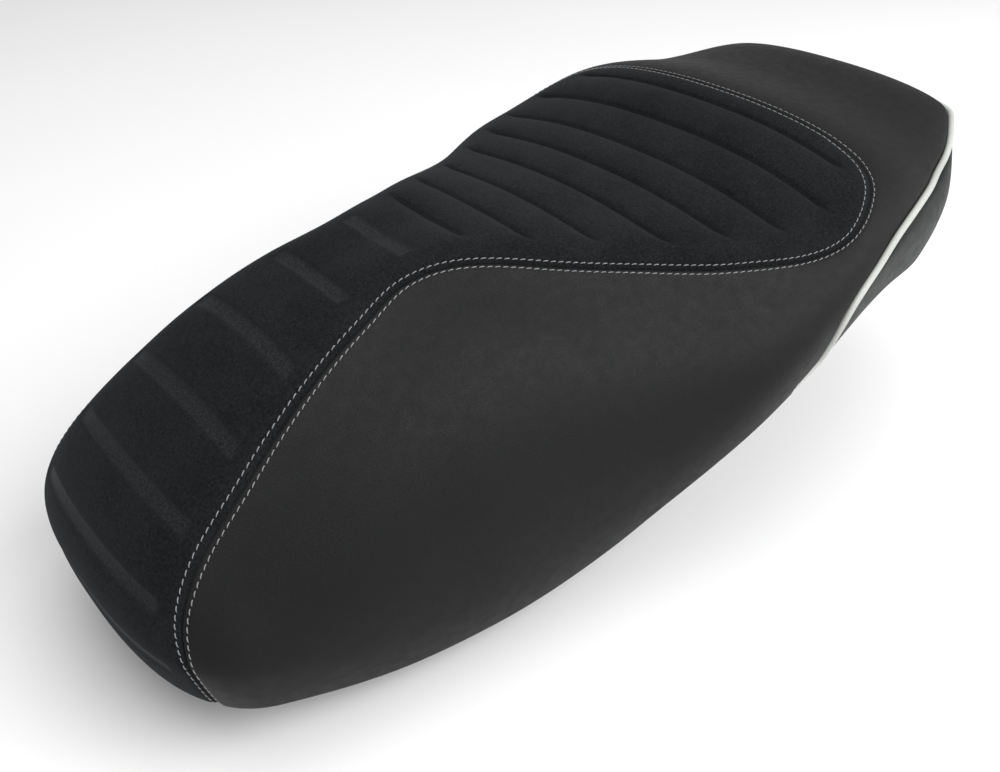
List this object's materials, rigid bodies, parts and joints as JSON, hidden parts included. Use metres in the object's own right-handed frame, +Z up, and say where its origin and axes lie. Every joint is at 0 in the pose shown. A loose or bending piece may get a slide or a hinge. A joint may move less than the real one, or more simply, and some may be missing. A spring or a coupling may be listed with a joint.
{
  "type": "scooter twin seat",
  "caption": "Two-person scooter seat: sewn cover over foam on a plastic pan, hinged at the nose and latched at the tail.",
  "frame": {"origin": "under the middle of the closed seat, level with the lowest point of its rim and the underside of the hinge bracket", "axes": "+X to the nose, +Y to the rider's left, +Z up, seat closed in its mounted attitude"},
  "size_m": [0.7024, 0.3696, 0.2192],
  "materials": {
    "suede": "napped suede-like microfibre",
    "leather": "fine-grained matt leathercloth",
    "tail_leather": "fine-grained matt leathercloth",
    "piping": "off-white piping",
    "thread": "light grey thread",
    "wadding": "open-cell wadding",
    "foam": "moulded polyurethane foam",
    "pan_plastic": "moulded black polypropylene",
    "hem": "woven hem strip",
    "rubber": "moulded rubber",
    "nylon": "natural nylon",
    "black_steel": "black paint on pressed steel",
    "zinc_steel": "zinc-plated steel",
    "bright_steel": "bright zinc-plated bar",
    "brass": "brass threaded insert"
  },
  "bodies": {
    "hinge_base": {"hinge_base_bracket": "zinc_steel", "hinge_pin": "bright_steel", "hinge_pin_clip": "black_steel"},
    "seat": {"centre_panel": "suede", "surround_panel": "leather", "tail_panel": "tail_leather", "piping_cord": "piping", "pleat_backing": "wadding", "seat_foam": "foam", "base_pan": "pan_plastic", "hem_band": "hem", "cover_staples": "zinc_steel", "buffer_front_left": "rubber", "buffer_front_right": "rubber", "buffer_middle_left": "rubber", "buffer_middle_right": "rubber", "buffer_rear_left": "rubber", "buffer_rear_right": "rubber", "hinge_seat_leaf": "black_steel", "hinge_bush_left": "nylon", "hinge_bush_right": "nylon", "hinge_leaf_screws": "zinc_steel", "hinge_leaf_inserts": "brass", "striker_plate": "zinc_steel", "striker_loop": "bright_steel", "striker_screws": "zinc_steel", "striker_inserts": "brass"}
  },
  "joints": [
    {"name": "seat_hinge", "type": "hinge", "parent": "hinge_base", "child": "seat", "pos_m": [0.3, 0, 0.02], "axis": [0, 1, 0], "range_deg": [0, 80]}
  ]
}
